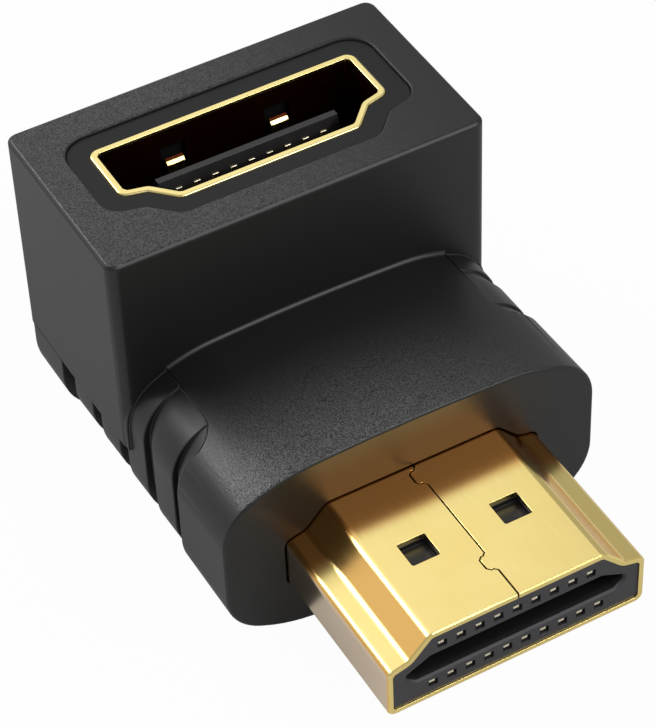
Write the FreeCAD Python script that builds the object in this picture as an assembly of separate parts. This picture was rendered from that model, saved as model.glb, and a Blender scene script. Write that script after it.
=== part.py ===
import FreeCAD, Part
import math
import os

from FreeCAD import Vector

# Right-angle digital video adapter. A moulded body carries a plug that points forward (-Y)
# and a socket that opens upward (+Z). Millimetres. The origin is at the middle of the
# footprint, on the surface that the adapter stands on.

# Moulded body
body_width = 20.4
body_length = 21.3
body_height = 10.7
body_top_fall = 0.044          # the crown drops this much for each mm towards the back
crown_rise = 0.1
crown_radius = 100.0
shoulder_inset = 3.28          # flank to the edge of the crown
shoulder_drop = 0.18
shoulder_radius = 8.0
side_drop = 1.85
side_radius = 3.05
sole_inset = 3.56              # flank to the edge of the flat sole
sole_radius = 9.0
front_edge_break = 0.1

# Upright block of the body
block_overhang = 0.05          # the block stands out from each flank by this much
block_depth = 11.3
block_height = 17.15
block_corner_radius = 0.6
block_top_break = 0.16         # bevel round the block's top edges
block_skirt_height = 5.15      # the block's side walls end here, above the grip ribs
seam_reach = 0.15              # the sloped inner corner at the foot of the block's front wall
seam_room = 0.75               # piece of crown and wall that the corner is cut from
window_break = 0.07            # bevel round the socket's window
plug_relief = 0.06             # gap round the plug where it leaves the front face
plug_relief_depth = 0.4

# Grip ribs on both flanks: each starts deep, flares outwards and ends in a sharp step
step_count = 5
rib_pitch = 3.0
first_step_setback = 5.6       # the body's front face to the first step
rib_depth_share = 0.343        # depths as shares of the wall outside the collar
rib_crest_share = 0.097
rib_tail_share = 0.114
rib_crown_gap = 0.04           # the ribs end this far under the crown
rib_run_out = 0.1              # the first ramp leaves the body's surface from this far outside
rib_flare_length = 1.1
panel_inset = 2.4              # flank to the inner edge of the ribs, above and below
panel_corner_radius = 2.8

# Plug section: wide side down, narrow side up
plug_width = 13.9
plug_height = 4.45
plug_side_height = 2.98
plug_neck_width = 11.68
plug_neck_height = 3.27
plug_crown_width = 9.42
foot_radius = 0.45
side_corner_radius = 0.45
neck_radius = 0.7
crown_corner_radius = 0.6

# Plug shell: folded sheet with two latch windows in each broad side and an interlocked seam
plug_reach = 9.4
plug_root = 3.4                # length held inside the body
sheet = 0.3
rim_break = 0.07               # bevel round the outside of the plug's mouth
latch_width = 1.5
latch_length = 1.5
latch_corner_radius = 0.07
latch_offset = 2.5             # middle of the adapter to middle of a window
latch_setback = 3.94           # tip to the near edge of a window
seam_gap = 0.08
tab_reach = 0.45
tab_length = 0.92
tab_corner_radius = 0.16
front_tab_setback = 1.9
rear_tab_setback = 8.18

# Plug insulator
face_setback = 0.08
tail_room = 0.4                # the shell reaches past the insulator's rear face by this much
slot_drop = 0.075              # the slot lies this far below the middle of the plug
slot_height = 1.3
slot_floor_width = 10.6
slot_width = 11.7
slot_roof_width = 9.2
slot_low_side = 0.4
slot_high_side = 0.05
slot_depth = 6.6
slot_lead = 0.12
channel_width = 0.5
channel_height = 0.45
channel_lip = 1.4              # length of wall between each channel's mouth and the slot
latch_pocket_depth = 0.3

# Contacts: ten on the wide side, nine on the narrow side, half a pitch apart
contact_pitch = 1.0
wide_row_count = 10
narrow_row_count = 9
row_offset = 1.22              # slot's middle to the middle of a row
plug_contact_width = 0.34
plug_contact_thickness = 0.2
plug_contact_setback = 0.2
plug_contact_dip = 0.62
dip_start = 1.55
dip_near = 2.7
dip_far = 3.4
dip_end = 4.8
joggle_setback = 0.1           # insulator's rear face to the joggle
joggle_length = 0.7
tail_length = 1.9

# Circuit board
board_thickness = 1.0
board_margin = 0.45            # socket's legs to the board's edge
board_gap = 0.6                # rear face of the plug's insulator to the board's front edge
board_rear_wall = 2.3          # the board ends this far from the body's back face

# Socket shell: drawn tube round the plug's section, with spring fingers
socket_clearance = 0.05
socket_corner_radius = 0.15    # the socket's corners are sharper than the plug's
socket_sheet = 0.35
socket_rear_wall = 3.54        # wide inner wall to the body's back face
socket_shell_lift = 0.5        # shell's lower edge above the board
socket_rim_setback = 0.08      # block's top to the shell's rim
socket_rim_break = 0.06        # bevel round the outside of the socket's mouth
finger_width = 1.0
finger_gap = 0.2
finger_offset = 2.9
finger_window_top = 1.3
finger_tip = 2.18
finger_lead = 0.2              # the end slopes back to the wall over this length
finger_bow = 4.2
finger_root = 6.6
finger_travel = 0.26
leg_width = 1.2
leg_reach = 0.45               # the legs pass the board's underside by this much

# Socket insulator and its contacts
socket_base_lift = 0.35
socket_base_height = 2.4
tongue_width = 9.9
tongue_thickness = 0.95
tongue_setback = 1.05          # block's top to the tongue's end
tongue_lead_height = 0.7
tongue_lead_depth = 0.3
socket_contact_width = 0.36
socket_contact_thickness = 0.16
socket_contact_setback = 0.5   # tongue's end to a contact's end
foot_reach = 0.4               # a contact's foot passes the insulator's side by this much
peg_radius = 0.5
peg_offset = 5.6

# Inner mould: the collar that shows in the body's window, and the slab round the board
bezel_margin = 1.1
bezel_setback = 0.15
bezel_back_radius = 1.5
bezel_shoulder_radius = 1.1
bezel_neck_radius = 1.0
bezel_front_radius = 1.2
mould_cheek = 0.4              # board's edge to the side of the slab
mould_front_wall = 1.6
mould_floor = 2.1
mould_roof = 8.6
board_grip = 0.3               # the board's edges are held this deep
chamber_above = 1.0
chamber_below = 0.7

smallest_arc = 0.25            # corners with a smaller radius are cut straight across
overshoot = 1.0                # a cutting shape passes the surface that it cuts by this much

# Sizes and places worked out from the others
socket_wall = socket_clearance + socket_sheet
collar_half_width = plug_width / 2 + socket_wall + bezel_margin
board_half_width = plug_width / 2 + socket_wall + board_margin
mould_half_width = board_half_width + mould_cheek
flank_wall = body_width / 2 - collar_half_width
rib_depth = rib_depth_share * flank_wall
rib_crest_depth = rib_crest_share * flank_wall
rib_tail_depth = rib_tail_share * flank_wall
block_half_width = body_width / 2 + block_overhang
panel_half_width = body_width / 2 - panel_inset
y_tip = -(plug_reach + body_length) / 2
y_front = y_tip + plug_reach
y_back = y_front + body_length
y_block = y_back - block_depth
z_plug = (body_height - plug_height) / 2
z_slot = z_plug + plug_height / 2 - slot_drop
y_shell_end = y_front + plug_root
y_insulator_end = y_shell_end - tail_room
y_board = y_insulator_end + board_gap
y_board_end = y_back - board_rear_wall
z_board = z_slot - board_thickness / 2
z_board_top = z_board + board_thickness
y_wide = y_back - socket_rear_wall
y_socket = y_wide - plug_height / 2
z_shell_foot = z_board_top + socket_shell_lift
z_base = z_board_top + socket_base_lift
z_base_top = z_base + socket_base_height
z_tongue = block_height - tongue_setback
z_bezel = block_height - bezel_setback
z_rim = block_height - socket_rim_setback
z_chamber = z_board - chamber_below
z_chamber_roof = z_board_top + chamber_above
y_mould = y_front + mould_front_wall


def rounded_wire(corners, place):
    """Closed wire through corners (u, v, radius), rounded by an arc or, where tiny, a straight cut."""
    count = len(corners)
    starts, middles, ends = [], [], []
    for i in range(count):
        u, v, radius = corners[i]
        here = Vector(u, v, 0)
        before = Vector(corners[i - 1][0], corners[i - 1][1], 0) - here
        after = Vector(corners[(i + 1) % count][0], corners[(i + 1) % count][1], 0) - here
        half_turn = before.getAngle(after) / 2
        room = 0.49 * min(before.Length, after.Length)
        reach = min(radius / math.tan(half_turn), room)
        radius = reach * math.tan(half_turn)
        before.normalize()
        after.normalize()
        bisector = (before + after).normalize()
        starts.append(here + before * reach)
        ends.append(here + after * reach)
        middles.append(here + bisector * (radius / math.sin(half_turn) - radius))
    edges = []
    for i in range(count):
        first, second, third = [place(p.x, p.y) for p in (starts[i], middles[i], ends[i])]
        if corners[i][2] >= smallest_arc:
            edges.append(Part.Arc(first, second, third).toShape())
        elif (first - third).Length > 1e-6:
            edges.append(Part.LineSegment(first, third).toShape())
        following = place(starts[(i + 1) % count].x, starts[(i + 1) % count].y)
        if (following - third).Length > 1e-6:
            edges.append(Part.LineSegment(third, following).toShape())
    return Part.Wire(edges)


def inset(corners, amount):
    """Corners moved inwards by amount; the list runs anticlockwise."""
    count = len(corners)
    moved = []
    for i in range(count):
        u, v, radius = corners[i]
        before = Vector(u - corners[i - 1][0], v - corners[i - 1][1], 0).normalize()
        after = Vector(corners[(i + 1) % count][0] - u, corners[(i + 1) % count][1] - v, 0).normalize()
        in_before = Vector(-before.y, before.x, 0)
        in_after = Vector(-after.y, after.x, 0)
        shift = (in_before + in_after) * (amount / (1 + in_before.dot(in_after)))
        turns_left = before.cross(after).z > 0
        new_radius = radius - amount if turns_left else radius + amount
        moved.append((u + shift.x, v + shift.y, max(new_radius, 0) if radius > 0 else 0))
    return moved


def mirrored(half):
    """Full anticlockwise list from the corners of the right half, bottom to top."""
    return half + [(-u, v, radius) for u, v, radius in reversed(half) if u > 0]


def facing_front(y):
    return lambda u, v: Vector(u, y, v)


def facing_up(z):
    return lambda u, v: Vector(u, v, z)


def facing_socket(z):
    """Places a plug section for the socket: flat at this height, its wide side at the back."""
    return lambda u, v: Vector(u, y_wide - v, z)


def prism(corners, place, direction):
    return Part.Face(rounded_wire(corners, place)).extrude(direction)


def box(x0, x1, y0, y1, z0, z1):
    return Part.makeBox(x1 - x0, y1 - y0, z1 - z0, Vector(x0, y0, z0))


def edges_on(shape, axis, value):
    """Edges that lie wholly in the plane where the named coordinate has this value."""
    found = []
    for edge in shape.Edges:
        bounds = edge.BoundBox
        low = getattr(bounds, axis + "Min")
        high = getattr(bounds, axis + "Max")
        if abs(low - value) < 1e-4 and abs(high - value) < 1e-4:
            found.append(edge)
    return found


def bent_strip(path, thickness, x, width):
    """Flat strip of this width, bent along a centre line of (y, z) points."""
    sides = ([], [])
    for i, (y, z) in enumerate(path):
        here = Vector(0, y, z)
        before = here - Vector(0, *path[i - 1]) if i > 0 else Vector(0, *path[i + 1]) - here
        after = Vector(0, *path[i + 1]) - here if i < len(path) - 1 else before
        before.normalize()
        after.normalize()
        left_before = Vector(0, -before.z, before.y)
        left_after = Vector(0, -after.z, after.y)
        shift = (left_before + left_after) * (thickness / 2 / (1 + left_before.dot(left_after)))
        sides[0].append(here + shift)
        sides[1].append(here - shift)
    outline = sides[0] + sides[1][::-1]
    base = [Vector(x - width / 2, p.y, p.z) for p in outline]
    return Part.Face(Part.makePolygon(base + [base[0]])).extrude(Vector(width, 0, 0))


def connector_section(foot, side, crown):
    """The connector's outline with these corner radii: u across, v from the wide side up."""
    return mirrored([
        (plug_width / 2, 0, foot),
        (plug_width / 2, plug_side_height, side),
        (plug_neck_width / 2, plug_neck_height, neck_radius),
        (plug_crown_width / 2, plug_height, crown),
    ])


def plug_section(amount):
    """The plug's outer section, inset by amount."""
    return inset(connector_section(foot_radius, side_corner_radius, crown_corner_radius), amount)


def socket_section(amount):
    """The same outline with the socket's sharper corners, grown by amount."""
    sharp = socket_corner_radius
    return inset(connector_section(sharp, sharp, sharp), -amount)


def plug_prism(amount, y0, y1):
    place = lambda u, v: Vector(u, y0, z_plug + v)
    return prism(plug_section(amount), place, Vector(0, y1 - y0, 0))


def socket_prism(amount, z0, z1):
    """The socket's outline stood on end, grown by amount."""
    return prism(socket_section(amount), facing_socket(z0), Vector(0, 0, z1 - z0))


def body_section(fall, depth):
    """The lower body's section, its crown lowered by fall and its flanks sunk by depth."""
    top = body_height - fall
    half = [
        (body_width / 2 - sole_inset, depth, sole_radius),
        (body_width / 2 - depth, side_drop + depth, side_radius),
        (body_width / 2 - depth, top - side_drop, side_radius),
        (body_width / 2 - shoulder_inset, top - shoulder_drop, shoulder_radius),
        (0, top + crown_rise, crown_radius),
    ]
    return mirrored(half)


def sunk_section(y, depth):
    """The section at this distance back, with its crown just under the body's own."""
    fall = body_top_fall * (y - y_front) + rib_crown_gap
    return rounded_wire(body_section(fall, depth), facing_front(y))


def straight_body():
    """The section run straight back, longer than the body at both ends."""
    run = Vector(0, body_length + 2 * overshoot, 0)
    return prism(body_section(0, 0), facing_front(y_front - overshoot), run)


def lower_body():
    """Straight below mid-height; above it the same section tips down towards the back."""
    middle = body_height / 2
    half = body_width
    below = straight_body().common(box(-half, half, y_front, y_back, -overshoot, middle))
    tipped = straight_body()
    tipped.rotate(Vector(0, y_front, middle), Vector(1, 0, 0), -math.degrees(math.atan(body_top_fall)))
    above = tipped.common(box(-half, half, y_front, y_back, middle, body_height + overshoot))
    body = below.fuse(above).removeSplitter()
    body = body.makeFillet(block_corner_radius, edges_on(body, "Y", y_back))
    return body.makeChamfer(front_edge_break, edges_on(body, "Y", y_front))


def block():
    corners = [(block_half_width, y, block_corner_radius) for y in (y_block, y_back)]
    rise = Vector(0, 0, block_height - block_skirt_height)
    body = prism(mirrored(corners), facing_up(block_skirt_height), rise)
    return body.makeChamfer(block_top_break, edges_on(body, "Z", block_height))


def seam(body):
    """Sloped inner corner where the block's front wall meets the crown of the lower body."""
    half = panel_half_width
    middle = body_height / 2
    crown = body.common(box(-half, half, y_block - seam_room, y_block + seam_room, middle, block_height))
    wall = box(-half, half, y_block, y_block + seam_room, middle, body_height + seam_room)
    corner = crown.fuse(wall).removeSplitter()
    inner = [edge for edge in edges_on(corner, "Y", y_block)
             if edge.BoundBox.XLength > edge.BoundBox.ZLength and edge.BoundBox.ZMax < body_height]
    return corner.makeChamfer(seam_reach, inner)


def panel_prism(side):
    """Plan of one flank's rib panel, with a rounded front corner, over the whole height."""
    y_start = y_front + first_step_setback - rib_flare_length
    y_end = y_front + first_step_setback + rib_pitch * (step_count - 1)
    inner = side * panel_half_width
    outer = side * (body_width / 2 + overshoot)
    corners = [(inner, y_start, panel_corner_radius), (outer, y_start, 0), (outer, y_end, 0)]
    corners.append((inner, y_end, 0))
    if side < 0:
        corners.reverse()
    return prism(corners, facing_up(-overshoot), Vector(0, 0, body_height + 2 * overshoot))


def grip_cuts():
    """What the ribs leave out of both flanks; under the block only the part below its skirt."""
    steps = [y_front + first_step_setback + rib_pitch * k for k in range(step_count)]
    spans = [(steps[0] - rib_flare_length, -rib_run_out, steps[0], rib_depth)]
    for rear in steps[1:]:
        crest = rear - rib_flare_length
        spans.append((crest, rib_crest_depth, rear, rib_depth))
        spans.append((rear - rib_pitch, rib_tail_depth, crest, rib_crest_depth))
    block_space = box(-body_width, body_width, y_block, y_back, block_skirt_height, block_height)
    cuts = []
    for side in (-1, 1):
        panel = panel_prism(side)
        for y0, depth0, y1, depth1 in spans:
            band = box(-body_width, body_width, y0, y1, -overshoot, block_height)
            core = Part.makeLoft([sunk_section(y0, depth0), sunk_section(y1, depth1)], True, True)
            room = panel.common(band).cut(core)
            cuts.append(room.cut(block_space))
    return cuts


def mould_outline():
    """The collar's plan, a margin outside the socket's shell, with rounder corners."""
    around = socket_section(socket_wall + bezel_margin)
    half = [bezel_back_radius, bezel_shoulder_radius, bezel_neck_radius, bezel_front_radius]
    return [(u, v, radius) for (u, v, _), radius in zip(around, half + half[::-1])]


def mould_body():
    """Outer form of the inner mould: a collar under the window and a slab round the board."""
    collar = prism(mould_outline(), facing_socket(mould_floor), Vector(0, 0, z_bezel - mould_floor))
    y_rear = y_wide + socket_wall + bezel_margin
    slab = box(-mould_half_width, mould_half_width, y_mould, y_rear, mould_floor, mould_roof)
    return collar.fuse(slab).removeSplitter()


def window_cuts():
    """The socket's window above the collar, and the bevel round its edge."""
    outline = mould_outline()
    lower = rounded_wire(outline, facing_socket(block_height - window_break))
    upper = rounded_wire(inset(outline, -window_break), facing_socket(block_height))
    hole = prism(outline, facing_socket(z_bezel), Vector(0, 0, overshoot))
    return [hole, Part.makeLoft([lower, upper], True, True)]


def outer_housing():
    """The overmould: body, block and ribs, with a window for the collar and a way for the plug."""
    lower = lower_body()
    body = lower.fuse([block(), seam(lower)]).removeSplitter()
    for cut in grip_cuts():
        body = body.cut(cut)
    passage = plug_prism(0, y_tip, y_mould)
    relief = plug_prism(-plug_relief, y_tip, y_front + plug_relief_depth)
    for opening in [mould_body(), passage, relief] + window_cuts():
        body = body.cut(opening)
    return body.removeSplitter()


def inner_mould():
    """Mould round the board, open for the plug's root, the socket and the solder tails."""
    half = board_half_width
    inner_half = half - board_grip
    hollows = [
        plug_prism(0, y_mould, y_shell_end),
        box(-inner_half, inner_half, y_shell_end, y_board_end - board_grip, z_chamber, z_chamber_roof),
        box(-half, half, y_board, y_board_end, z_board, z_board_top),
        socket_prism(socket_wall, z_board_top, z_bezel),
    ]
    return mould_body().cut(hollows).removeSplitter()


def seam_cut():
    """Thin gap along the plug's upper side, stepping round two interlocked tabs."""
    far = -plug_crown_width / 2
    corners = [(far, y_tip - overshoot, 0), (0, y_tip - overshoot, 0)]
    for start in (y_tip + front_tab_setback, y_tip + rear_tab_setback):
        end = start + tab_length
        for u, v in ((0, start), (-tab_reach, start), (-tab_reach, end), (0, end)):
            corners.append((u, v, tab_corner_radius))
    corners += [(0, y_shell_end + overshoot, 0), (far, y_shell_end + overshoot, 0)]
    z_low = z_plug + plug_height - 2 * sheet
    z_high = z_plug + plug_height + sheet
    up = Vector(0, 0, z_high - z_low)
    outer = prism(inset(corners, -seam_gap / 2), facing_up(z_low), up)
    inner = prism(inset(corners, seam_gap / 2), facing_up(z_low), up)
    strip = box(-2 * tab_reach, tab_reach, y_tip - seam_gap, y_shell_end, z_low, z_high)
    return outer.cut(inner).common(strip)


def latch_prisms(z0, z1):
    """The two latch windows over this range of heights."""
    prisms = []
    y0 = y_tip + latch_setback
    y1 = y0 + latch_length
    for x in (-latch_offset, latch_offset):
        x0, x1 = x - latch_width / 2, x + latch_width / 2
        corners = [(u, v, latch_corner_radius) for u, v in ((x0, y0), (x1, y0), (x1, y1), (x0, y1))]
        prisms.append(prism(corners, facing_up(z0), Vector(0, 0, z1 - z0)))
    return prisms


def plug_shell():
    tube = plug_prism(0, y_tip, y_shell_end)
    tube = tube.makeChamfer(rim_break, edges_on(tube, "Y", y_tip))
    tube = tube.cut(plug_prism(sheet, y_tip - overshoot, y_shell_end + overshoot))
    tube = tube.cut(latch_prisms(z_plug - overshoot, z_plug + plug_height + overshoot))
    return tube.cut(seam_cut()).removeSplitter()


def slot_section(amount):
    """The slot's section, widened all round by amount."""
    floor = z_slot - slot_height / 2
    half = [
        (slot_floor_width / 2, floor, 0),
        (slot_width / 2, floor + slot_low_side, 0),
        (slot_width / 2, z_slot + slot_high_side, 0),
        (slot_roof_width / 2, floor + slot_height, 0),
    ]
    return inset(mirrored(half), -amount)


def row_places(count):
    return [contact_pitch * (i - (count - 1) / 2) for i in range(count)]


def plug_contact_path(up):
    """Centre line of a plug contact: tip, dip into the slot, joggle and solder tail."""
    z_row = z_slot + up * row_offset
    z_dip = z_slot + up * (row_offset - plug_contact_dip)
    z_tail = z_slot + up * (board_thickness + plug_contact_thickness) / 2
    y_joggle = y_insulator_end + joggle_setback
    return [
        (y_tip + plug_contact_setback, z_row),
        (y_tip + dip_start, z_row),
        (y_tip + dip_near, z_dip),
        (y_tip + dip_far, z_dip),
        (y_tip + dip_end, z_row),
        (y_joggle, z_row),
        (y_joggle + joggle_length, z_tail),
        (y_joggle + joggle_length + tail_length, z_tail),
    ]


def plug_insulator():
    """Moulded block inside the shell, with the slot and a channel for each contact."""
    y_face = y_tip + face_setback
    y_slot_end = y_tip + slot_depth
    body = plug_prism(sheet, y_face, y_insulator_end)
    mouth = rounded_wire(slot_section(slot_lead), facing_front(y_face))
    throat = rounded_wire(slot_section(0), facing_front(y_face + slot_lead))
    cuts = [prism(slot_section(0), facing_front(y_face), Vector(0, y_slot_end - y_face, 0)),
            Part.makeLoft([mouth, throat], True, True)]
    for up, count in ((-1, wide_row_count), (1, narrow_row_count)):
        z_row = z_slot + up * row_offset
        z_outer = z_row + up * channel_height / 2
        z_low, z_high = z_row - channel_height / 2, z_row + channel_height / 2
        for x in row_places(count):
            x0, x1 = x - channel_width / 2, x + channel_width / 2
            cuts.append(box(x0, x1, y_tip, y_slot_end, z_low, z_high))
            near, far = sorted((z_slot, z_outer))
            cuts.append(box(x0, x1, y_tip + channel_lip, y_slot_end, near, far))
            x0, x1 = x - plug_contact_width / 2, x + plug_contact_width / 2
            z_tail = z_row - plug_contact_thickness / 2
            cuts.append(box(x0, x1, y_slot_end, y_shell_end, z_tail, z_tail + plug_contact_thickness))
    z_top = z_plug + plug_height - sheet
    cuts += latch_prisms(z_top - latch_pocket_depth, z_top)
    cuts += latch_prisms(z_plug + sheet, z_plug + sheet + latch_pocket_depth)
    return body.cut(cuts).removeSplitter()


def plug_contacts():
    """Numbered across the rows as the pins are: odd ones on the wide side, even on the narrow."""
    contacts = {}
    for up, count, first in ((-1, wide_row_count, 1), (1, narrow_row_count, 2)):
        for i, x in enumerate(row_places(count)):
            name = "plug_contact_%02d" % (first + 2 * i)
            path = plug_contact_path(up)
            contacts[name] = bent_strip(path, plug_contact_thickness, x, plug_contact_width)
    return contacts


def leg_boxes(z0, z1):
    """Four legs at the short walls of the socket shell; they pass through the board."""
    inner = plug_width / 2 + socket_clearance
    y_leg = y_wide - plug_side_height / 2
    legs = []
    for side in (-1, 1):
        x0, x1 = sorted((side * inner, side * (inner + socket_sheet)))
        legs.append(box(x0, x1, y_leg - leg_width / 2, y_leg + leg_width / 2, z0, z1))
    return legs


def pegs(z0, z1):
    """Two round pegs under the socket's insulator."""
    feet = [Vector(x, y_socket, z0) for x in (-peg_offset, peg_offset)]
    return [Part.makeCylinder(peg_radius, z1 - z0, foot) for foot in feet]


def circuit_board():
    board = box(-board_half_width, board_half_width, y_board, y_board_end, z_board, z_board_top)
    z0, z1 = z_board - overshoot, z_board_top + overshoot
    return board.cut(leg_boxes(z0, z1) + pegs(z0, z1))


def spring_finger(y_wall, inward, x):
    """Cantilever cut free from a broad wall: bowed into the socket, its end sloped back to the wall."""
    y_bow = y_wall + inward * finger_travel
    heights = (finger_root, finger_bow, finger_tip + finger_lead, finger_tip)
    path = [(y, block_height - drop) for y, drop in zip((y_wall, y_bow, y_bow, y_wall), heights)]
    return bent_strip(path, socket_sheet, x, finger_width)


def socket_shell():
    outer = socket_prism(socket_wall, z_shell_foot, z_rim)
    outer = outer.makeChamfer(socket_rim_break, edges_on(outer, "Z", z_rim))
    tube = outer.cut(socket_prism(socket_clearance, z_shell_foot - overshoot, z_rim + overshoot))
    half = finger_width / 2 + finger_gap
    walls = ((y_wide + socket_clearance + socket_sheet / 2, -1),
             (y_wide - plug_height - socket_clearance - socket_sheet / 2, 1))
    windows, fingers = [], []
    for y_wall, inward in walls:
        for x in (-finger_offset, finger_offset):
            windows.append(box(x - half, x + half, y_wall - socket_sheet, y_wall + socket_sheet,
                               block_height - finger_root, block_height - finger_window_top))
            fingers.append(spring_finger(y_wall, inward, x))
    legs = leg_boxes(z_board - leg_reach, z_shell_foot)
    return tube.cut(windows).fuse(fingers + legs).removeSplitter()


def tongue():
    """Flat blade whose broad faces slope inwards at its end."""
    half_thick = tongue_thickness / 2
    corners = mirrored([
        (half_thick, z_base_top, 0),
        (half_thick, z_tongue - tongue_lead_height, 0),
        (half_thick - tongue_lead_depth, z_tongue, 0),
    ])
    place = lambda u, v: Vector(-tongue_width / 2, y_socket + u, v)
    return prism(corners, place, Vector(tongue_width, 0, 0))


def socket_insulator():
    """Base that fills the socket's shell, pegged to the board, with the tongue standing on it."""
    base = socket_prism(socket_clearance, z_base, z_base_top)
    body = base.fuse([tongue()] + pegs(z_board, z_base)).removeSplitter()
    half = socket_contact_width / 2
    grooves = []
    for side, count in ((1, wide_row_count), (-1, narrow_row_count)):
        y_face = y_socket + side * tongue_thickness / 2
        y0, y1 = sorted((y_face, y_face - side * socket_contact_thickness))
        for x in row_places(count):
            grooves.append(box(x - half, x + half, y0, y1, z_board, z_tongue - socket_contact_setback))
    return body.cut(grooves)


def socket_contacts():
    """Strips let into the tongue's faces; each foot turns outwards and lies on the board."""
    contacts = {}
    z_foot = z_board_top + socket_contact_thickness / 2
    for side, count, first in ((1, wide_row_count, 1), (-1, narrow_row_count, 2)):
        y_strip = y_socket + side * (tongue_thickness - socket_contact_thickness) / 2
        y_foot = y_socket + side * (plug_height / 2 + socket_clearance + foot_reach)
        path = [(y_strip, z_tongue - socket_contact_setback), (y_strip, z_foot), (y_foot, z_foot)]
        for i, x in enumerate(row_places(count)):
            name = "socket_contact_%02d" % (first + 2 * i)
            contacts[name] = bent_strip(path, socket_contact_thickness, x, socket_contact_width)
    return contacts


nodes = {
    "outer_housing": outer_housing(),
    "inner_mould": inner_mould(),
    "circuit_board": circuit_board(),
    "plug_shell": plug_shell(),
    "plug_insulator": plug_insulator(),
    "socket_shell": socket_shell(),
    "socket_insulator": socket_insulator(),
}
nodes.update(plug_contacts())
nodes.update(socket_contacts())

os.makedirs("parts", exist_ok=True)
for name, shape in nodes.items():
    solid, = shape.Solids
    solid.exportStep("parts/" + name + ".step")
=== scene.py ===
import math

import bmesh
import bpy
from mathutils.bvhtree import BVHTree
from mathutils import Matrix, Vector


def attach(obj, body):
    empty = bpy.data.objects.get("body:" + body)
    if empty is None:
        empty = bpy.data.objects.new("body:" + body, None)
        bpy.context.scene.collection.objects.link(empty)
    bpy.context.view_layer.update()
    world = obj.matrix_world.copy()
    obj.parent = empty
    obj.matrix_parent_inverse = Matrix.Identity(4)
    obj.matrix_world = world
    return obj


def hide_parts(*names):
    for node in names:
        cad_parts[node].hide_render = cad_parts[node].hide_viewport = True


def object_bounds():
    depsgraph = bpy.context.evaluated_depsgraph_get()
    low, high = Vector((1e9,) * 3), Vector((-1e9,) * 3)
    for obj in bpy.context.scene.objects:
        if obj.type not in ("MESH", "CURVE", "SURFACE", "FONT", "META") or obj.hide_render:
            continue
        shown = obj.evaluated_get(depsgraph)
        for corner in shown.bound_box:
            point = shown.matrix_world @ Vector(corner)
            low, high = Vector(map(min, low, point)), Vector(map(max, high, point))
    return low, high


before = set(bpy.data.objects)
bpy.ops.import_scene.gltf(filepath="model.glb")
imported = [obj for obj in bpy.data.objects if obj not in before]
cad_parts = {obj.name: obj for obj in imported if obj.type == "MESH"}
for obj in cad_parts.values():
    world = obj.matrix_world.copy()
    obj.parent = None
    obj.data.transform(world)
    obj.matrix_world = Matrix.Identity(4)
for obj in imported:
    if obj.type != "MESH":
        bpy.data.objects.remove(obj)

cad_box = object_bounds()


# Circuit board. A 1 mm board of woven glass and epoxy, routed to size, that joins the plug's
# tails to the socket's feet. Its green solder mask shows the weave faintly; the mould hides it.

def linear(code):
    """Linear colour with alpha from an sRGB hex value."""
    channels = [int(code[i:i + 2], 16) / 255 for i in (1, 3, 5)]
    return tuple(c / 12.92 if c <= 0.04045 else ((c + 0.055) / 1.055) ** 2.4 for c in channels) + (1.0,)


def add(tree, kind, settings={}, inputs={}):
    """Adds a node with its settings; an input is a value or another node's output."""
    made = tree.nodes.new(kind)
    for name, value in settings.items():
        setattr(made, name, value)
    for name, value in inputs.items():
        if isinstance(value, bpy.types.NodeSocket):
            tree.links.new(value, made.inputs[name])
        else:
            made.inputs[name].default_value = value
    return made


def new_finish(name):
    """A named material with an empty node tree."""
    finish = bpy.data.materials.new(name)
    finish.use_nodes = True
    finish.node_tree.nodes.clear()
    return finish, finish.node_tree


weave_size = 0.45e-3
wave_factor = 20                 # a wave texture multiplies its scale by this
weave_relief = 4e-6

solder_mask, tree = new_finish("solder_mask_on_glass_epoxy")
place = add(tree, "ShaderNodeTexCoord")
warp = add(tree, "ShaderNodeTexWave", {"bands_direction": "X"},
           {"Vector": place.outputs["Object"], "Scale": 1 / weave_size / wave_factor, "Distortion": 0.4})
weft = add(tree, "ShaderNodeTexWave", {"bands_direction": "Y"},
           {"Vector": place.outputs["Object"], "Scale": 1 / weave_size / wave_factor, "Distortion": 0.4})
cloth = add(tree, "ShaderNodeMath", {"operation": "MULTIPLY"},
            {0: warp.outputs["Fac"], 1: weft.outputs["Fac"]})
bump = add(tree, "ShaderNodeBump", {},
           {"Height": cloth.outputs[0], "Distance": weave_relief, "Strength": 0.6})
tint = add(tree, "ShaderNodeMix", {"data_type": "RGBA"},
           {0: cloth.outputs[0], 6: linear("#0c4a2a"), 7: linear("#14633a")})
skin = add(tree, "ShaderNodeBsdfPrincipled", {},
           {"Base Color": tint.outputs[2], "Roughness": 0.32, "IOR": 1.5, "Normal": bump.outputs[0]})
add(tree, "ShaderNodeOutputMaterial", {}, {"Surface": skin.outputs[0]})

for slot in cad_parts["circuit_board"].material_slots:
    slot.material = solder_mask


# Plug insulator. Black glass-filled polyester, injection moulded in a polished tool: a block
# with the slot for the mating tongue and a narrow window for each contact. Its edges are
# crisp, and glass fibres near the skin leave a faint cloudy sheen. The slot and the windows
# are painted darker than the face, and darker deeper in: painted shade where little light reaches.

insulator_edge = 0.02e-3
sharp_angle = 28                 # degrees; facets that meet at less belong to one curved face
flat_angle = 0.1
weld_reach = 2e-6
sliver = 1e-6
edge_steps = 2
stray_share = 0.4                # a rounded corner moves by less than this share of its width
polyester_cloud = 0.9e-3
fibre_size = 0.08e-3
fibre_relief = 2e-6
plug_face_y = -15.27e-3
painted_shade_from = 0.05e-3
painted_shade_at = 0.5e-3


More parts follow.
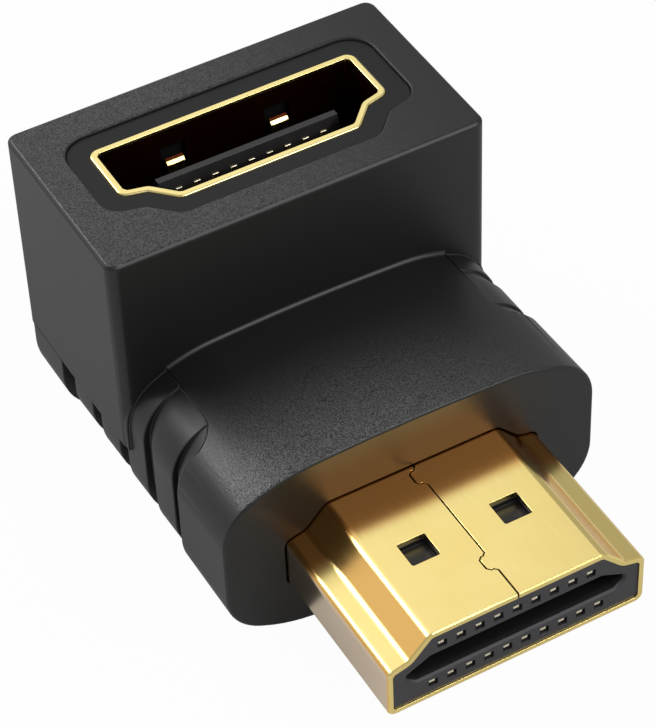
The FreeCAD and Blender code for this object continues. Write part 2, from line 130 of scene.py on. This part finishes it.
def joined_copy(node, name, finish, reach=weld_reach):
    """Object with a copy of a CAD node's mesh: its triangles joined, its flat faces made whole."""
    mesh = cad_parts[node].data.copy()
    mesh.name = name
    work = bmesh.new()
    work.from_mesh(mesh)
    bmesh.ops.remove_doubles(work, verts=work.verts, dist=reach)
    bmesh.ops.dissolve_degenerate(work, edges=work.edges, dist=sliver)
    bmesh.ops.dissolve_limit(work, angle_limit=math.radians(flat_angle), verts=work.verts, edges=work.edges)
    for face in work.faces:
        face.smooth = True
    work.to_mesh(mesh)
    work.free()
    if "custom_normal" in mesh.attributes:
        mesh.attributes.remove(mesh.attributes["custom_normal"])
    mesh.set_sharp_from_angle(angle=math.radians(sharp_angle))
    mesh.materials.clear()
    mesh.materials.append(finish)
    piece = bpy.data.objects.new(name, mesh)
    bpy.context.scene.collection.objects.link(piece)
    return piece


def soften(piece, width, angle=sharp_angle):
    """Rounds a piece's sharp edges by a width, as its tool or die leaves them.

    Where edges lie closer than the width, the bevel throws points off the piece; those go back
    to the nearest place on its surface.
    """
    sharp = bmesh.new()
    sharp.from_mesh(piece.data)
    surface = BVHTree.FromBMesh(sharp)
    sharp.free()
    bevel = piece.modifiers.new("edge_break", "BEVEL")
    bevel.width = width
    bevel.segments = edge_steps
    bevel.limit_method = "ANGLE"
    bevel.angle_limit = math.radians(angle)
    bevel.use_clamp_overlap = False
    bevel.loop_slide = False
    rounded = bpy.data.meshes.new_from_object(piece.evaluated_get(bpy.context.evaluated_depsgraph_get()))
    piece.modifiers.remove(bevel)
    lowest, highest = [[pick(corner[i] for corner in piece.bound_box) for i in range(3)]
                       for pick in (min, max)]
    for point in rounded.vertices:
        nearest, _, _, away = surface.find_nearest(point.co)
        outside = any(not low <= at <= high for low, at, high in zip(lowest, point.co, highest))
        if away > stray_share * width or outside:
            point.co = nearest
    rounded.name = piece.name
    piece.data = rounded
    even = piece.modifiers.new("even_shading", "WEIGHTED_NORMAL")
    even.keep_sharp = True
    even.weight = 50


insulator, tree = new_finish("glass_filled_polyester_with_painted_shade")
place = add(tree, "ShaderNodeTexCoord")
flow = add(tree, "ShaderNodeTexNoise", {},
           {"Vector": place.outputs["Object"], "Scale": 1 / polyester_cloud, "Detail": 3.0})
fibre = add(tree, "ShaderNodeTexNoise", {},
            {"Vector": place.outputs["Object"], "Scale": 1 / fibre_size, "Detail": 2.0})
tint = add(tree, "ShaderNodeMix", {"data_type": "RGBA"},
           {0: flow.outputs["Fac"], 6: linear("#232226"), 7: linear("#2d2c31")})
# Painted shade: the slot and the windows get darker with depth behind the plug's face.
spot = add(tree, "ShaderNodeSeparateXYZ", {}, {0: place.outputs["Object"]})
depth = add(tree, "ShaderNodeMapRange", {},
            {"Value": spot.outputs["Y"], "From Min": plug_face_y + painted_shade_from,
             "From Max": plug_face_y + painted_shade_at})
tint = add(tree, "ShaderNodeMix", {"data_type": "RGBA"},
           {0: depth.outputs[0], 6: tint.outputs[2], 7: linear("#0a0909")})
gloss = add(tree, "ShaderNodeMapRange", {}, {"Value": fibre.outputs["Fac"], "To Min": 0.42, "To Max": 0.56})
bump = add(tree, "ShaderNodeBump", {},
           {"Height": fibre.outputs["Fac"], "Distance": fibre_relief, "Strength": 0.5})
skin = add(tree, "ShaderNodeBsdfPrincipled", {},
           {"Base Color": tint.outputs[2], "Roughness": gloss.outputs[0], "IOR": 1.55,
            "Normal": bump.outputs[0]})
add(tree, "ShaderNodeOutputMaterial", {}, {"Surface": skin.outputs[0]})

plug_block = joined_copy("plug_insulator", "plug_block", insulator)
soften(plug_block, insulator_edge)
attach(plug_block, "root")
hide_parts("plug_insulator")


# Plug contacts. Strips of copper alloy, stamped, bent and plated with hard gold, pushed into
# the block from behind: ten on the wide side, nine on the narrow side, half a pitch apart.
# Only their rounded tips show in the windows. Each row is one strip bent along its centre
# line and repeated at the contact pitch.

contact_pitch = 1.0e-3
plug_strip = (0.34e-3, 0.2e-3)
plug_tip_y = -15.35e-3
plug_slot_z = 5.275e-3
row_offset = 1.22e-3
dip_offset = 0.6e-3
tail_offset = 0.6e-3
contact_runs = [0.2e-3, 1.55e-3, 2.7e-3, 3.4e-3, 4.8e-3, 12.5e-3, 13.2e-3, 15.1e-3]
strip_edge = 0.03e-3
bend_radius = 0.3e-3
bend_angle = 40                  # degrees; smaller steps are shaded smooth
strip_corner = 50
rolled_size = 0.12e-3

contact_gold, tree = new_finish("hard_gold_with_painted_glint")
place = add(tree, "ShaderNodeTexCoord")
rolled = add(tree, "ShaderNodeTexNoise", {},
             {"Vector": place.outputs["Object"], "Scale": 1 / rolled_size, "Detail": 2.0})
# The gold is paled nearly to white, partly as painted highlight: it stands in for the glints on the tips.
tint = add(tree, "ShaderNodeMix", {"data_type": "RGBA"},
           {0: rolled.outputs["Fac"], 6: linear("#fdeec8"), 7: linear("#fff8e2")})
gloss = add(tree, "ShaderNodeMapRange", {}, {"Value": rolled.outputs["Fac"], "To Min": 0.2, "To Max": 0.34})
skin = add(tree, "ShaderNodeBsdfPrincipled", {},
           {"Base Color": tint.outputs[2], "Metallic": 1.0, "Roughness": gloss.outputs[0]})
add(tree, "ShaderNodeOutputMaterial", {}, {"Surface": skin.outputs[0]})

contact_tree = bpy.data.node_groups.new("row_of_bent_strips", "GeometryNodeTree")
contact_tree.interface.new_socket("Centre line", in_out="INPUT", socket_type="NodeSocketGeometry")
row_inputs = {}
for label, kind in (("Strip width", "NodeSocketFloat"), ("Strip thickness", "NodeSocketFloat"),
                    ("Bend radius", "NodeSocketFloat"), ("Pitch", "NodeSocketFloat"),
                    ("Contacts", "NodeSocketInt"), ("Finish", "NodeSocketMaterial")):
    socket = contact_tree.interface.new_socket(label, in_out="INPUT", socket_type=kind)
    row_inputs[label] = socket.identifier
contact_tree.interface.new_socket("Row", in_out="OUTPUT", socket_type="NodeSocketGeometry")
given = add(contact_tree, "NodeGroupInput")
line = add(contact_tree, "GeometryNodeMeshToCurve", {}, {"Mesh": given.outputs["Centre line"]})
bent = add(contact_tree, "GeometryNodeFilletCurve", {"mode": "POLY"},
           {"Curve": line.outputs[0], "Radius": given.outputs["Bend radius"], "Limit Radius": True,
            "Count": 3})
flat = add(contact_tree, "GeometryNodeSetCurveNormal", {"mode": "FREE"},
           {"Curve": bent.outputs[0], "Normal": (1.0, 0.0, 0.0)})
section = add(contact_tree, "GeometryNodeCurvePrimitiveQuadrilateral", {"mode": "RECTANGLE"},
              {"Width": given.outputs["Strip width"], "Height": given.outputs["Strip thickness"]})
strip = add(contact_tree, "GeometryNodeCurveToMesh", {},
            {"Curve": flat.outputs[0], "Profile Curve": section.outputs[0], "Fill Caps": True})
half_row = add(contact_tree, "ShaderNodeMath", {"operation": "MULTIPLY_ADD"},
               {0: given.outputs["Contacts"], 1: -0.5, 2: 0.5})
first = add(contact_tree, "ShaderNodeMath", {"operation": "MULTIPLY"},
            {0: half_row.outputs[0], 1: given.outputs["Pitch"]})
start = add(contact_tree, "ShaderNodeCombineXYZ", {}, {"X": first.outputs[0]})
step = add(contact_tree, "ShaderNodeCombineXYZ", {}, {"X": given.outputs["Pitch"]})
spots = add(contact_tree, "GeometryNodeMeshLine", {},
            {"Count": given.outputs["Contacts"], "Start Location": start.outputs[0],
             "Offset": step.outputs[0]})
placed = add(contact_tree, "GeometryNodeInstanceOnPoints", {},
             {"Points": spots.outputs[0], "Instance": strip.outputs[0]})
real = add(contact_tree, "GeometryNodeRealizeInstances", {}, {"Geometry": placed.outputs[0]})
plated = add(contact_tree, "GeometryNodeSetMaterial", {},
             {"Geometry": real.outputs[0], "Material": given.outputs["Finish"]})
result = add(contact_tree, "NodeGroupOutput")
contact_tree.links.new(plated.outputs[0], result.inputs[0])


def contact_row(name, centre_line, strip_size, count, nodes):
    """Row of like contacts along X, each a strip bent along these (y, z) points."""
    guide = bpy.data.meshes.new(name + "_guide")
    guide.from_pydata([(0.0, y, z) for y, z in centre_line],
                      [(i, i + 1) for i in range(len(centre_line) - 1)], [])
    maker = bpy.data.objects.new(name + "_maker", guide)
    bpy.context.scene.collection.objects.link(maker)
    steps = maker.modifiers.new("row", "NODES")
    steps.node_group = contact_tree
    values = {"Strip width": strip_size[0], "Strip thickness": strip_size[1], "Bend radius": bend_radius,
              "Pitch": contact_pitch, "Contacts": count, "Finish": contact_gold}
    for label, value in values.items():
        steps[row_inputs[label]] = value
    made = maker.evaluated_get(bpy.context.evaluated_depsgraph_get())
    mesh = bpy.data.meshes.new_from_object(made)
    mesh.name = name
    maker.modifiers.remove(steps)
    bpy.data.objects.remove(maker)
    work = bmesh.new()
    work.from_mesh(mesh)
    bmesh.ops.remove_doubles(work, verts=work.verts, dist=sliver)
    bmesh.ops.recalc_face_normals(work, faces=work.faces)
    for face in work.faces:
        face.smooth = True
    work.to_mesh(mesh)
    work.free()
    mesh.set_sharp_from_angle(angle=math.radians(bend_angle))
    row = bpy.data.objects.new(name, mesh)
    bpy.context.scene.collection.objects.link(row)
    soften(row, strip_edge, strip_corner)
    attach(row, "root")
    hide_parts(*nodes)


for label, up, count, number in (("wide", -1, 10, 1), ("narrow", 1, 9, 2)):
    z_row, z_dip, z_tail = [plug_slot_z + up * offset for offset in (row_offset, dip_offset, tail_offset)]
    heights = (z_row, z_row, z_dip, z_dip, z_row, z_row, z_tail, z_tail)
    route = [(plug_tip_y + run, z) for run, z in zip(contact_runs, heights)]
    contact_row("plug_contacts_" + label, route, plug_strip, count,
                ["plug_contact_%02d" % (number + 2 * i) for i in range(count)])


# Plug shell. Steel strip folded round the block, its ends locked by two tabs along the top,
# barrel plated with nickel and gold: a soft bright skin with faint rolling lines along the
# strip, and corners that a tumbling drum has left just round. By which way a face turns, the
# gold is painted paler on the side walls and deeper orange on the slopes between the folds:
# painted reflections. Next to the mould it is painted a deeper orange-brown, a painted
# reflection of the housing's front face.

shell_edge = 0.015e-3
root_y = -5.95e-3
painted_reflection_length = 3.0e-3
painted_reflection_fade = 0.6                 # share of that length over which the tone fades out
painted_reflection_share = 0.75
slope_facing = (0.62, 0.7)       # sideways part of the normal where a slope begins
wall_facing = (0.86, 0.96)
line_size = 0.1e-3
line_stretch = 0.06
line_relief = 5e-7
plate_cloud = 2.5e-3

shell_gold, tree = new_finish("gold_plate_with_painted_reflections")
place = add(tree, "ShaderNodeTexCoord")
drawn = add(tree, "ShaderNodeMapping", {},
            {"Vector": place.outputs["Object"], "Scale": (1.0, line_stretch, 1.0)})
lines = add(tree, "ShaderNodeTexNoise", {},
            {"Vector": drawn.outputs[0], "Scale": 1 / line_size, "Detail": 3.0})
cloud = add(tree, "ShaderNodeTexNoise", {},
            {"Vector": place.outputs["Object"], "Scale": 1 / plate_cloud, "Detail": 2.0})
tint = add(tree, "ShaderNodeMix", {"data_type": "RGBA"},
           {0: cloud.outputs["Fac"], 6: linear("#f6dc86"), 7: linear("#fde79c")})
spot = add(tree, "ShaderNodeSeparateXYZ", {}, {0: place.outputs["Object"]})
# Painted reflection: next to the mould the gold is painted a deeper orange-brown, for the housing's front
# face mirrored in it.
root = add(tree, "ShaderNodeMapRange", {"interpolation_type": "SMOOTHSTEP"},
           {"Value": spot.outputs["Y"], "From Min": root_y - painted_reflection_length,
            "From Max": root_y - painted_reflection_fade * painted_reflection_length, "To Max": painted_reflection_share})
tint = add(tree, "ShaderNodeMix", {"data_type": "RGBA"},
           {0: root.outputs[0], 6: tint.outputs[2], 7: linear("#e98c39")})
# Painted reflections by facing: the slopes are painted deeper orange and the side walls paler, for what each
# face mirrors.
facing = add(tree, "ShaderNodeSeparateXYZ", {}, {0: place.outputs["Normal"]})
side = add(tree, "ShaderNodeMath", {"operation": "ABSOLUTE"}, {0: facing.outputs["X"]})
slope = add(tree, "ShaderNodeMapRange", {"interpolation_type": "SMOOTHSTEP"},
            {"Value": side.outputs[0], "From Min": slope_facing[0], "From Max": slope_facing[1],
             "To Max": 0.8})
tint = add(tree, "ShaderNodeMix", {"data_type": "RGBA"},
           {0: slope.outputs[0], 6: tint.outputs[2], 7: linear("#efb766")})
wall = add(tree, "ShaderNodeMapRange", {"interpolation_type": "SMOOTHSTEP"},
           {"Value": side.outputs[0], "From Min": wall_facing[0], "From Max": wall_facing[1]})
tint = add(tree, "ShaderNodeMix", {"data_type": "RGBA"},
           {0: wall.outputs[0], 6: tint.outputs[2], 7: linear("#e9d2b6")})
gloss = add(tree, "ShaderNodeMapRange", {}, {"Value": lines.outputs["Fac"], "To Min": 0.15, "To Max": 0.23})
bump = add(tree, "ShaderNodeBump", {},
           {"Height": lines.outputs["Fac"], "Distance": line_relief, "Strength": 0.5})
skin = add(tree, "ShaderNodeBsdfPrincipled", {},
           {"Base Color": tint.outputs[2], "Metallic": 1.0, "Roughness": gloss.outputs[0],
            "Normal": bump.outputs[0]})
add(tree, "ShaderNodeOutputMaterial", {}, {"Surface": skin.outputs[0]})

plug_barrel = joined_copy("plug_shell", "plug_barrel", shell_gold)
soften(plug_barrel, shell_edge)
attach(plug_barrel, "root")
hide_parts("plug_shell")


# Socket insulator. Black liquid crystal polymer, which fills thin walls: a base pegged to the
# board and the thin tongue that stands on it, its end tapered to lead a plug in.

polymer_cloud = 0.7e-3

tongue_black, tree = new_finish("liquid_crystal_polymer_moulded")
place = add(tree, "ShaderNodeTexCoord")
flow = add(tree, "ShaderNodeTexNoise", {},
           {"Vector": place.outputs["Object"], "Scale": 1 / polymer_cloud, "Detail": 3.0})
tint = add(tree, "ShaderNodeMix", {"data_type": "RGBA"},
           {0: flow.outputs["Fac"], 6: linear("#0a090a"), 7: linear("#111011")})
gloss = add(tree, "ShaderNodeMapRange", {}, {"Value": flow.outputs["Fac"], "To Min": 0.38, "To Max": 0.5})
skin = add(tree, "ShaderNodeBsdfPrincipled", {},
           {"Base Color": tint.outputs[2], "Roughness": gloss.outputs[0], "IOR": 1.6})
add(tree, "ShaderNodeOutputMaterial", {}, {"Surface": skin.outputs[0]})

socket_tongue = joined_copy("socket_insulator", "socket_tongue", tongue_black)
soften(socket_tongue, insulator_edge)
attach(socket_tongue, "root")
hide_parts("socket_insulator")


# Socket contacts. Thinner strips let into both faces of the tongue, each with a foot that
# turns outwards and is soldered flat on the board.

socket_strip = (0.36e-3, 0.16e-3)
socket_middle_y = 9.585e-3
strip_from_middle = 0.395e-3
foot_from_middle = 2.675e-3
strip_end_z = 15.6e-3
foot_z = 5.855e-3

for label, side, count, number in (("back", 1, 10, 1), ("front", -1, 9, 2)):
    y_strip, y_foot = [socket_middle_y + side * offset for offset in (strip_from_middle, foot_from_middle)]
    route = [(y_strip, strip_end_z), (y_strip, foot_z), (y_foot, foot_z)]
    contact_row("socket_contacts_" + label, route, socket_strip, count,
                ["socket_contact_%02d" % (number + 2 * i) for i in range(count)])


# Socket shell. A drawn ring of thin steel that lines the socket, with two spring fingers in
# each broad wall. The rim and the fingers are plated with gold; the walls below the rim are
# painted a brown black, as painted shade inside the socket.

ring_edge = 0.03e-3
rim_z = 17.07e-3
painted_shade_below = 0.12e-3
finger_stand = 2.2e-3            # the fingers stand this near the socket's middle plane
finger_blend = 0.02e-3
fingers_end_x = 4.0e-3
steel_cloud = 1.2e-3

ring_gold, tree = new_finish("gold_drawn_steel_with_painted_shade")
place = add(tree, "ShaderNodeTexCoord")
spot = add(tree, "ShaderNodeSeparateXYZ", {}, {0: place.outputs["Object"]})
cloud = add(tree, "ShaderNodeTexNoise", {},
            {"Vector": place.outputs["Object"], "Scale": 1 / steel_cloud, "Detail": 2.0})
bright = add(tree, "ShaderNodeMix", {"data_type": "RGBA"},
             {0: cloud.outputs["Fac"], 6: linear("#f8e08e"), 7: linear("#fff0ac")})
# Painted shade: the walls inside the socket, below the rim and away from the fingers, are painted a brown
# black.
painted_shade_tint = add(tree, "ShaderNodeMix", {"data_type": "RGBA"},
           {0: cloud.outputs["Fac"], 6: linear("#31140a"), 7: linear("#4a1e0e")})
from_middle = add(tree, "ShaderNodeMath", {"operation": "SUBTRACT"},
                  {0: spot.outputs["Y"], 1: socket_middle_y})
apart = add(tree, "ShaderNodeMath", {"operation": "ABSOLUTE"}, {0: from_middle.outputs[0]})
inside = add(tree, "ShaderNodeMapRange", {},
             {"Value": apart.outputs[0], "From Min": finger_stand, "From Max": finger_stand - finger_blend})
on_rim = add(tree, "ShaderNodeMapRange", {},
             {"Value": spot.outputs["Z"], "From Min": rim_z - 1.5 * painted_shade_below,
              "From Max": rim_z - painted_shade_below})
across = add(tree, "ShaderNodeMath", {"operation": "ABSOLUTE"}, {0: spot.outputs["X"]})
near = add(tree, "ShaderNodeMath", {"operation": "LESS_THAN"}, {0: across.outputs[0], 1: fingers_end_x})
finger = add(tree, "ShaderNodeMath", {"operation": "MULTIPLY"}, {0: inside.outputs[0], 1: near.outputs[0]})
# One where the gold stays bright, on the rim and the fingers; nought where painted shade darkens the walls.
plated = add(tree, "ShaderNodeMath", {"operation": "MAXIMUM"}, {0: finger.outputs[0], 1: on_rim.outputs[0]})
tint = add(tree, "ShaderNodeMix", {"data_type": "RGBA"},
           {0: plated.outputs[0], 6: painted_shade_tint.outputs[2], 7: bright.outputs[2]})
gloss = add(tree, "ShaderNodeMapRange", {}, {"Value": plated.outputs[0], "To Min": 0.45, "To Max": 0.22})
skin = add(tree, "ShaderNodeBsdfPrincipled", {},
           {"Base Color": tint.outputs[2], "Metallic": 1.0, "Roughness": gloss.outputs[0]})
add(tree, "ShaderNodeOutputMaterial", {}, {"Surface": skin.outputs[0]})

socket_ring = joined_copy("socket_shell", "socket_ring", ring_gold)
soften(socket_ring, ring_edge)
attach(socket_ring, "root")
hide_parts("socket_shell")


# Inner mould. The first shot: a smooth black collar that holds the socket and closes round
# the board. It is darker and more even than the overmould, because its tool was polished.

collar_edge = 0.04e-3
nylon_cloud = 1.5e-3

collar_black, tree = new_finish("smooth_nylon_first_shot")
place = add(tree, "ShaderNodeTexCoord")
flow = add(tree, "ShaderNodeTexNoise", {},
           {"Vector": place.outputs["Object"], "Scale": 1 / nylon_cloud, "Detail": 2.0})
tint = add(tree, "ShaderNodeMix", {"data_type": "RGBA"},
           {0: flow.outputs["Fac"], 6: linear("#0b0c0d"), 7: linear("#101112")})
gloss = add(tree, "ShaderNodeMapRange", {}, {"Value": flow.outputs["Fac"], "To Min": 0.5, "To Max": 0.58})
skin = add(tree, "ShaderNodeBsdfPrincipled", {},
           {"Base Color": tint.outputs[2], "Roughness": gloss.outputs[0], "IOR": 1.4})
add(tree, "ShaderNodeOutputMaterial", {}, {"Surface": skin.outputs[0]})

collar = joined_copy("inner_mould", "collar", collar_black)
soften(collar, collar_edge)
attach(collar, "root")
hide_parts("inner_mould")


# Outer housing. Black ABS moulded over everything else in one shot. The tool's cavity was
# spark eroded on its floor, which gives the top and the front of the crown a fine grain (drawn
# coarser than life, so that it shows), and stoned smooth where the walls draw out. The grain's
# high spots are painted lighter, as painted glints; these, and the grain with them, fade
# towards the right and the back, where less light falls. A thin bead on each side carries the
# seam at the block's foot down to the flank.

housing_edge = 0.05e-3
housing_weld_reach = 25e-6
grain_width = 0.075e-3
grain_depth = 0.04e-3
painted_glint_levels = (0.38, 0.62)
level_facing = (0.72, 0.86)      # upward part of the normal where the grained floor begins
block_from_z = 12e-3
block_grain_and_glint_x = (11e-3, -5e-3)   # from no grain to the most
block_grain_and_glint_most = 0.5
crown_grain_and_glint_y = (2e-3, -8e-3)
crown_grain_and_glint_x = (9e-3, -3e-3)
crown_grain_and_glint_least = 0.15
bead_radius = 0.08e-3
bead_y = 4.05e-3
bead_line = [(-10.03e-3, 5.25e-3), (-10.03e-3, 8.37e-3), (-7.75e-3, 9.54e-3)]
bead_bend = 3.05e-3

housing_black, tree = new_finish("spark_grained_abs_with_painted_glints")
place = add(tree, "ShaderNodeTexCoord")
facing = add(tree, "ShaderNodeSeparateXYZ", {}, {0: place.outputs["Normal"]})
grained = add(tree, "ShaderNodeMapRange", {"interpolation_type": "SMOOTHSTEP"},
              {"Value": facing.outputs["Z"], "From Min": level_facing[0], "From Max": level_facing[1]})
grain = add(tree, "ShaderNodeTexNoise", {},
            {"Vector": place.outputs["Object"], "Scale": 1 / grain_width, "Detail": 1.0, "Roughness": 0.5})
spot = add(tree, "ShaderNodeSeparateXYZ", {}, {0: place.outputs["Object"]})
on_block = add(tree, "ShaderNodeMath", {"operation": "GREATER_THAN"},
               {0: spot.outputs["Z"], 1: block_from_z})
# The painted glints, and the grain with them, fade towards the right and the back, where less light falls.
to_front = add(tree, "ShaderNodeMapRange", {"interpolation_type": "SMOOTHSTEP"},
               {"Value": spot.outputs["Y"], "From Min": crown_grain_and_glint_y[0], "From Max": crown_grain_and_glint_y[1]})
to_left = add(tree, "ShaderNodeMapRange", {"interpolation_type": "SMOOTHSTEP"},
              {"Value": spot.outputs["X"], "From Min": crown_grain_and_glint_x[0], "From Max": crown_grain_and_glint_x[1],
               "To Min": crown_grain_and_glint_least})
on_crown = add(tree, "ShaderNodeMath", {"operation": "MULTIPLY"},
               {0: to_front.outputs[0], 1: to_left.outputs[0]})
over_block = add(tree, "ShaderNodeMapRange", {"interpolation_type": "SMOOTHSTEP"},
                 {"Value": spot.outputs["X"], "From Min": block_grain_and_glint_x[0], "From Max": block_grain_and_glint_x[1],
                  "To Max": block_grain_and_glint_most})
on_top = add(tree, "ShaderNodeMath", {"operation": "MULTIPLY"},
             {0: on_block.outputs[0], 1: over_block.outputs[0]})
zone = add(tree, "ShaderNodeMath", {"operation": "MAXIMUM"}, {0: on_top.outputs[0], 1: on_crown.outputs[0]})
shown = add(tree, "ShaderNodeMath", {"operation": "MULTIPLY"}, {0: grained.outputs[0], 1: zone.outputs[0]})
relief = add(tree, "ShaderNodeMath", {"operation": "MULTIPLY"},
             {0: grain.outputs["Fac"], 1: shown.outputs[0]})
bump = add(tree, "ShaderNodeBump", {},
           {"Height": relief.outputs[0], "Distance": grain_depth, "Strength": 1.0})
# Painted glints: the grain's high spots are painted lighter in the base colour.
painted_glint_speckle = add(tree, "ShaderNodeMapRange", {},
              {"Value": grain.outputs["Fac"], "From Min": painted_glint_levels[0], "From Max": painted_glint_levels[1]})
bright = add(tree, "ShaderNodeMath", {"operation": "MULTIPLY"}, {0: painted_glint_speckle.outputs[0], 1: shown.outputs[0]})
tint = add(tree, "ShaderNodeMix", {"data_type": "RGBA"},
           {0: bright.outputs[0], 6: linear("#0f0f0f"), 7: linear("#5c5c5c")})
gloss = add(tree, "ShaderNodeMapRange", {}, {"Value": shown.outputs[0], "To Min": 0.46, "To Max": 0.3})
skin = add(tree, "ShaderNodeBsdfPrincipled", {},
           {"Base Color": tint.outputs[2], "Roughness": gloss.outputs[0], "IOR": 1.5,
            "Normal": bump.outputs[0]})
add(tree, "ShaderNodeOutputMaterial", {}, {"Surface": skin.outputs[0]})

housing = joined_copy("outer_housing", "housing", housing_black, housing_weld_reach)
soften(housing, housing_edge)
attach(housing, "root")
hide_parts("outer_housing")

bead_tree = bpy.data.node_groups.new("bead_along_corner", "GeometryNodeTree")
bead_tree.interface.new_socket("Corner line", in_out="INPUT", socket_type="NodeSocketGeometry")
bead_inputs = {}
for label, kind in (("Bead radius", "NodeSocketFloat"), ("Bend radius", "NodeSocketFloat"),
                    ("Finish", "NodeSocketMaterial")):
    socket = bead_tree.interface.new_socket(label, in_out="INPUT", socket_type=kind)
    bead_inputs[label] = socket.identifier
bead_tree.interface.new_socket("Bead", in_out="OUTPUT", socket_type="NodeSocketGeometry")
given = add(bead_tree, "NodeGroupInput")
line = add(bead_tree, "GeometryNodeMeshToCurve", {}, {"Mesh": given.outputs["Corner line"]})
bent = add(bead_tree, "GeometryNodeFilletCurve", {"mode": "POLY"},
           {"Curve": line.outputs[0], "Radius": given.outputs["Bend radius"], "Limit Radius": True,
            "Count": 12})
ring = add(bead_tree, "GeometryNodeCurvePrimitiveCircle", {"mode": "RADIUS"},
           {"Resolution": 10, "Radius": given.outputs["Bead radius"]})
tube = add(bead_tree, "GeometryNodeCurveToMesh", {},
           {"Curve": bent.outputs[0], "Profile Curve": ring.outputs[0], "Fill Caps": True})
real = add(bead_tree, "GeometryNodeRealizeInstances", {}, {"Geometry": tube.outputs[0]})
black = add(bead_tree, "GeometryNodeSetMaterial", {},
            {"Geometry": real.outputs[0], "Material": given.outputs["Finish"]})
result = add(bead_tree, "NodeGroupOutput")
bead_tree.links.new(black.outputs[0], result.inputs[0])

for label, side in (("left", 1), ("right", -1)):
    guide = bpy.data.meshes.new("bead_guide_" + label)
    guide.from_pydata([(side * x, bead_y, z) for x, z in bead_line], [(0, 1), (1, 2)], [])
    maker = bpy.data.objects.new("bead_maker_" + label, guide)
    bpy.context.scene.collection.objects.link(maker)
    steps = maker.modifiers.new("bead", "NODES")
    steps.node_group = bead_tree
    values = {"Bead radius": bead_radius, "Bend radius": bead_bend, "Finish": housing_black}
    for name, value in values.items():
        steps[bead_inputs[name]] = value
    made = maker.evaluated_get(bpy.context.evaluated_depsgraph_get())
    mesh = bpy.data.meshes.new_from_object(made)
    mesh.name = "corner_bead_" + label
    maker.modifiers.remove(steps)
    bpy.data.objects.remove(maker)
    work = bmesh.new()
    work.from_mesh(mesh)
    bmesh.ops.recalc_face_normals(work, faces=work.faces)
    for face in work.faces:
        face.smooth = True
    work.to_mesh(mesh)
    work.free()
    bead = bpy.data.objects.new(mesh.name, mesh)
    bpy.context.scene.collection.objects.link(bead)
    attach(bead, "root")


# Studio. A grey table that the picture shows as white, a big soft lamp over the back, smaller
# ones at the left that light the crown's shoulder and the plug's slope, one in front that draws
# the edges, and a white room. The table glows a little in what is glossy.

table_in_gloss = 0.23
table_in_camera = 0.97
table_reach = 2.0
table_drop = 1e-5
room_light = 0.45

paper, tree = new_finish("white_table_paper")
path = add(tree, "ShaderNodeLightPath")
seen = add(tree, "ShaderNodeMath", {"operation": "MAXIMUM"},
           {0: path.outputs["Is Glossy Ray"], 1: path.outputs["Is Transmission Ray"]})
share = add(tree, "ShaderNodeMath", {"operation": "MULTIPLY"}, {0: seen.outputs[0], 1: table_in_gloss})
whole = add(tree, "ShaderNodeMath", {"operation": "MULTIPLY"},
            {0: path.outputs["Is Camera Ray"], 1: table_in_camera})
total = add(tree, "ShaderNodeMath", {"operation": "MAXIMUM"}, {0: share.outputs[0], 1: whole.outputs[0]})
skin = add(tree, "ShaderNodeBsdfPrincipled", {}, {"Base Color": linear("#c2c2c2"), "Roughness": 0.9})
glow = add(tree, "ShaderNodeEmission", {}, {"Color": (1, 1, 1, 1), "Strength": 1.0})
both = add(tree, "ShaderNodeMixShader", {}, {0: total.outputs[0], 1: skin.outputs[0], 2: glow.outputs[0]})
add(tree, "ShaderNodeOutputMaterial", {}, {"Surface": both.outputs[0]})

table_mesh = bpy.data.meshes.new("table")
corners = [(x * table_reach, y * table_reach, 0) for x, y in ((-1, -1), (1, -1), (1, 1), (-1, 1))]
table_mesh.from_pydata(corners, [], [(0, 1, 2, 3)])
table = bpy.data.objects.new("table", table_mesh)
table.data.materials.append(paper)
table.location.z = -table_drop
bpy.context.scene.collection.objects.link(table)

world = bpy.data.worlds.new("white_room")
bpy.context.scene.world = world
world.use_nodes = True
world.node_tree.nodes.clear()
room = add(world.node_tree, "ShaderNodeBackground", {}, {"Color": (1, 1, 1, 1), "Strength": room_light})
add(world.node_tree, "ShaderNodeOutputWorld", {}, {"Surface": room.outputs[0]})


def soft_lamp(name, place, size, power):
    """Rectangular lamp that faces the middle of the adapter."""
    lamp = bpy.data.lights.new(name, "AREA")
    lamp.shape = "RECTANGLE"
    lamp.size, lamp.size_y = size
    lamp.energy = power
    holder = bpy.data.objects.new(name, lamp)
    bpy.context.scene.collection.objects.link(holder)
    holder.location = place
    middle = (cad_box[0] + cad_box[1]) / 2
    holder.rotation_euler = (holder.location - middle).to_track_quat("Z", "Y").to_euler()


soft_lamp("lamp_over_back", (0.00, 0.32, 0.35), (0.44, 0.38), 0.30)
soft_lamp("lamp_key", (-0.20, 0.30, 0.27), (0.24, 0.18), 0.80)
soft_lamp("lamp_left", (-0.34, 0.26, 0.13), (0.20, 0.16), 0.04)
soft_lamp("lamp_front", (0.15, -0.27, 0.33), (0.30, 0.18), 1.00)

focal_pixels = 3012.67
picture_height = 727
camera = bpy.data.cameras.new("camera")
camera.sensor_width = 36.0
camera.lens = focal_pixels / picture_height * camera.sensor_width
camera.clip_start, camera.clip_end = 0.01, 10.0
viewer = bpy.data.objects.new("camera", camera)
bpy.context.scene.collection.objects.link(viewer)
viewer.location = (-0.0489629, -0.0908295, 0.1112260)
viewer.rotation_euler = [math.radians(angle) for angle in (45.34816, 1.85187, -29.59046)]
bpy.context.scene.camera = viewer
bpy.context.scene.view_settings.view_transform = "Standard"
